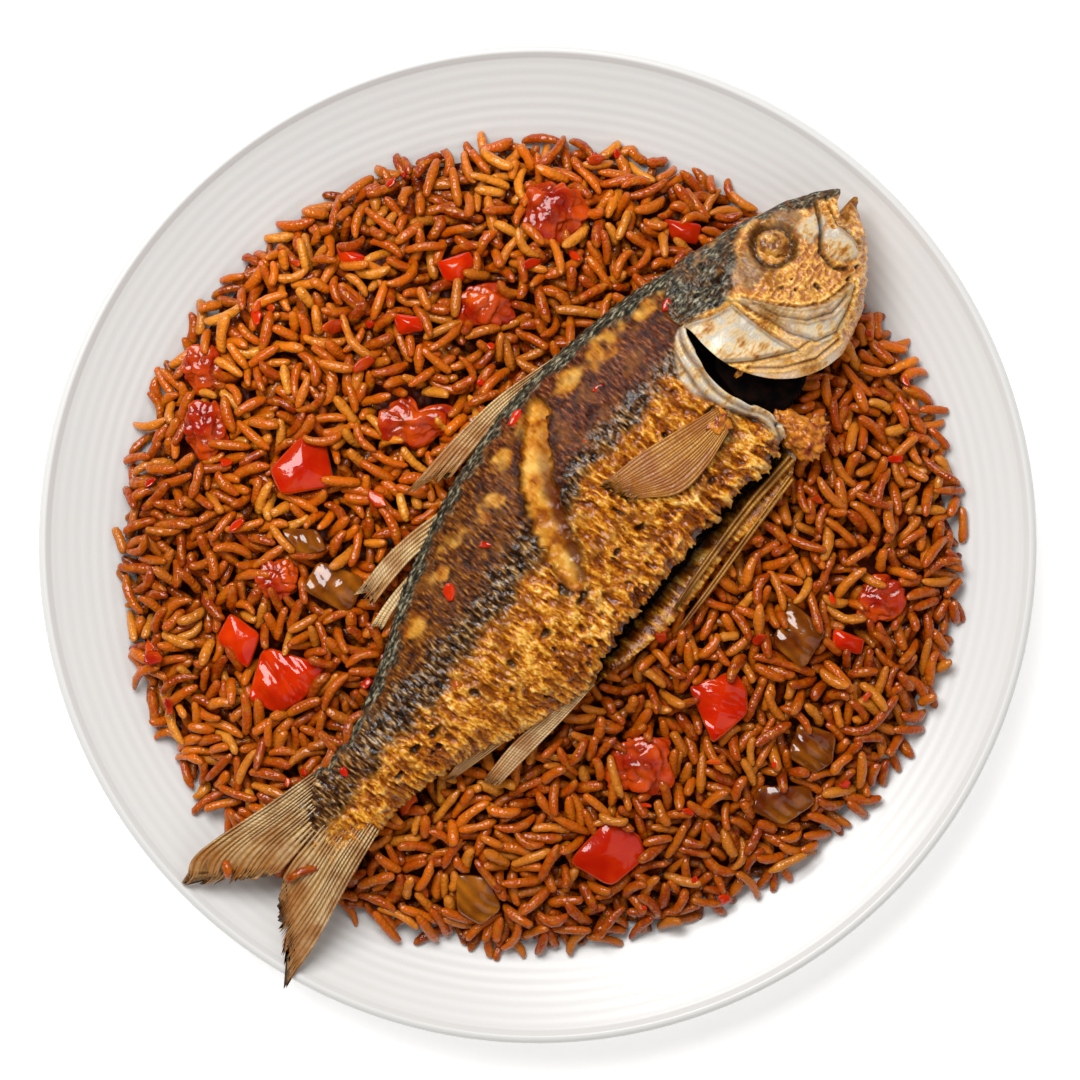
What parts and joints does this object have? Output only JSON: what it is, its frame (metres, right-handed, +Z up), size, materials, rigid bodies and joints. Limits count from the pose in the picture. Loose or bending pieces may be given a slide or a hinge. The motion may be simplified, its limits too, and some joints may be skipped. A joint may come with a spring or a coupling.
{
  "type": "plate of jollof rice with a fried fish",
  "caption": "Heap of orange-brown jollof rice on a round ribbed white plate, with a whole fried fish across it and lumps of red pepper, tomato and onion.",
  "frame": {"origin": "centre of the plate's foot ring, on the surface that the plate stands on", "axes": "+Z up; +X to the right and +Y away from the diner, so that the fish's head points to +X and +Y"},
  "size_m": [0.27, 0.27, 0.0522],
  "materials": {
    "glazed_stoneware": "white satin glaze over fine turned rings",
    "stewed_rice": null,
    "fried_fish_skin": null,
    "red_pepper": null,
    "stewed_onion": null,
    "stewed_tomato": null
  },
  "bodies": {
    "root": {"plate": "glazed_stoneware", "rice_heap": "stewed_rice", "fried_fish": "fried_fish_skin", "pepper_1": "red_pepper", "pepper_2": "red_pepper", "pepper_3": "red_pepper", "pepper_4": "red_pepper", "pepper_5": "red_pepper", "pepper_6": "red_pepper", "pepper_7": "red_pepper", "pepper_8": "red_pepper", "pepper_9": "red_pepper", "pepper_10": "red_pepper", "onion_1": "stewed_onion", "onion_2": "stewed_onion", "onion_3": "stewed_onion", "onion_4": "stewed_onion", "onion_5": "stewed_onion", "onion_6": "stewed_onion", "tomato_1": "stewed_tomato", "tomato_2": "stewed_tomato", "tomato_3": "stewed_tomato", "tomato_4": "stewed_tomato", "tomato_5": "stewed_tomato", "tomato_6": "stewed_tomato", "tomato_7": "stewed_tomato", "tomato_8": "stewed_tomato"}
  },
  "joints": []
}
